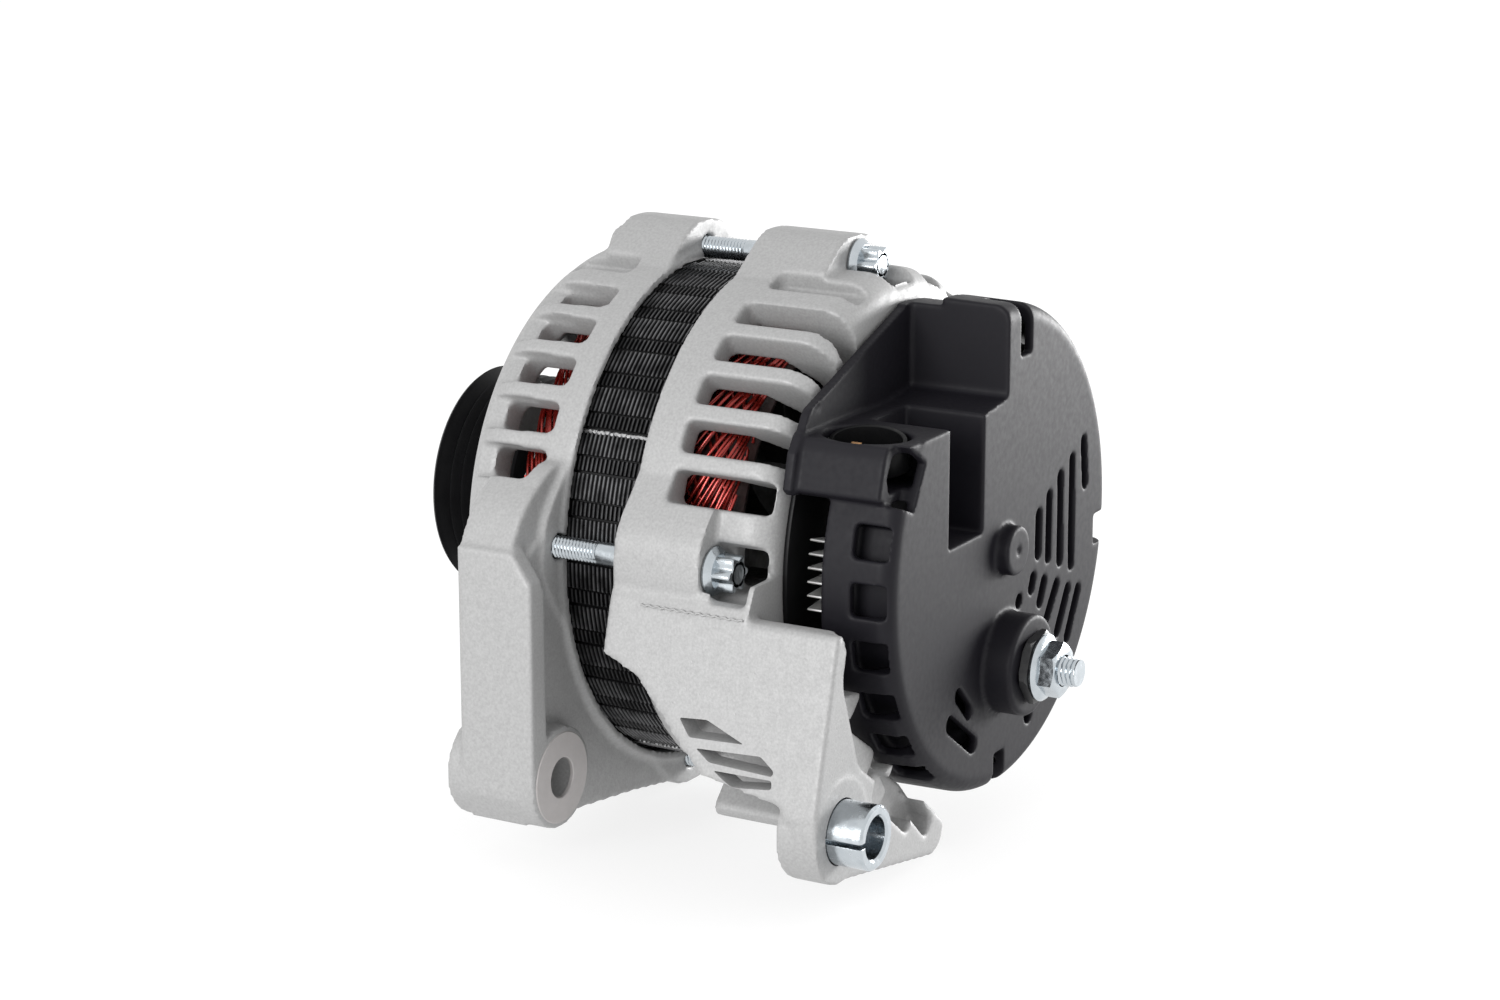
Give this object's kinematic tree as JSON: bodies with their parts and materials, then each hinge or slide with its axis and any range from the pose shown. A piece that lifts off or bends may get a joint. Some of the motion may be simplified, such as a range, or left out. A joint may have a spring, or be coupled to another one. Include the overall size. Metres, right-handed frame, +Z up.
{
  "type": "car alternator",
  "caption": "Car alternator with slotted cast brackets on a laminated stator, two mounting feet, a ribbed belt pulley and a dark plastic rear cover with a battery stud.",
  "frame": {"origin": "centre of the rotor shaft's front end face", "axes": "+Y along the rotor axis from the rear cover towards the pulley; +Z up; the mounting feet are on the -X side, low down"},
  "size_m": [0.171, 0.182, 0.1572],
  "materials": {
    "cast_aluminium": "bead-blasted casting, matt, light grey, with small pits",
    "heat_sink_aluminium": "plain pressed sheet and fins",
    "zinc_plated_steel": "bright zinc plating",
    "machined_steel": "turned and ground",
    "laminated_steel": "stacked sheets, black varnish, satin",
    "enamelled_copper": "dark red enamel, glossy",
    "black_coated_steel": "black coating, satin",
    "bronze": "plain",
    "brush_carbon": "matt pressed carbon",
    "cover_plastic": "moulded, satin, dark grey",
    "black_plastic": "moulded, satin, black"
  },
  "bodies": {
    "housing": {"bearing_retainer": "zinc_plated_steel", "brush_holder": "black_plastic", "brush_spring_inner": "machined_steel", "brush_spring_outer": "machined_steel", "connector_pin_1": "bronze", "connector_pin_2": "bronze", "connector_socket": "black_plastic", "foot_bushing": "zinc_plated_steel", "front_bearing_outer_race": "machined_steel", "front_bracket": "cast_aluminium", "negative_diode_1": "machined_steel", "negative_diode_2": "machined_steel", "negative_diode_3": "machined_steel", "negative_heat_sink": "heat_sink_aluminium", "positive_diode_1": "machined_steel", "positive_diode_2": "machined_steel", "positive_diode_3": "machined_steel", "positive_heat_sink": "heat_sink_aluminium", "rear_bearing_outer_race": "machined_steel", "rear_bracket": "cast_aluminium", "rear_cover": "cover_plastic", "regulator": "black_plastic", "regulator_screw_1": "zinc_plated_steel", "regulator_screw_2": "zinc_plated_steel", "retainer_screw_1": "zinc_plated_steel", "retainer_screw_2": "zinc_plated_steel", "retainer_screw_3": "zinc_plated_steel", "retainer_screw_4": "zinc_plated_steel", "stator_core": "laminated_steel", "stator_winding": "enamelled_copper", "terminal_board": "black_plastic", "terminal_insulator": "black_plastic", "terminal_nut": "zinc_plated_steel", "terminal_stud": "zinc_plated_steel", "through_bolt_1": "zinc_plated_steel", "through_bolt_2": "zinc_plated_steel", "through_bolt_3": "zinc_plated_steel", "through_bolt_4": "zinc_plated_steel"},
    "rotor": {"rotor_shaft": "machined_steel", "front_claw_pole": "machined_steel", "rear_claw_pole": "machined_steel", "coil_bobbin": "black_plastic", "field_coil": "enamelled_copper", "front_fan": "machined_steel", "rear_fan": "machined_steel", "slip_ring_sleeve": "black_plastic", "slip_ring_outer": "bronze", "slip_ring_inner": "bronze", "front_bearing_inner_race": "machined_steel", "rear_bearing_inner_race": "machined_steel", "pulley_collar": "machined_steel", "pulley": "black_coated_steel", "pulley_nut": "zinc_plated_steel"},
    "front_ball_cage": {"front_bearing_balls": "machined_steel"},
    "rear_ball_cage": {"rear_bearing_balls": "machined_steel"},
    "outer_brush": {"brush_outer": "brush_carbon"},
    "inner_brush": {"brush_inner": "brush_carbon"}
  },
  "joints": [
    {"name": "rotor_spin", "type": "hinge", "parent": "housing", "child": "rotor", "pos_m": [0, 0, 0], "axis": [0, 1, 0], "continuous": true},
    {"name": "front_cage_spin", "type": "hinge", "parent": "housing", "child": "front_ball_cage", "pos_m": [0, -0.0392, 0], "axis": [0, 1, 0], "continuous": true},
    {"name": "rear_cage_spin", "type": "hinge", "parent": "housing", "child": "rear_ball_cage", "pos_m": [0, -0.1257, 0], "axis": [0, 1, 0], "continuous": true},
    {"name": "outer_brush_slide", "type": "slide", "parent": "housing", "child": "outer_brush", "axis": [0, 0, 1], "range_m": [0, 0.007], "stiffness_N_per_m": 150, "springref_m": -0.02, "deforming": ["brush_spring_outer"]},
    {"name": "inner_brush_slide", "type": "slide", "parent": "housing", "child": "inner_brush", "axis": [0, 0, 1], "range_m": [0, 0.007], "stiffness_N_per_m": 150, "springref_m": -0.02, "deforming": ["brush_spring_inner"]}
  ],
  "couplings": [
    {"joint": "front_cage_spin", "follows": "rotor_spin", "ratio": 0.399},
    {"joint": "rear_cage_spin", "follows": "rotor_spin", "ratio": 0.415}
  ]
}
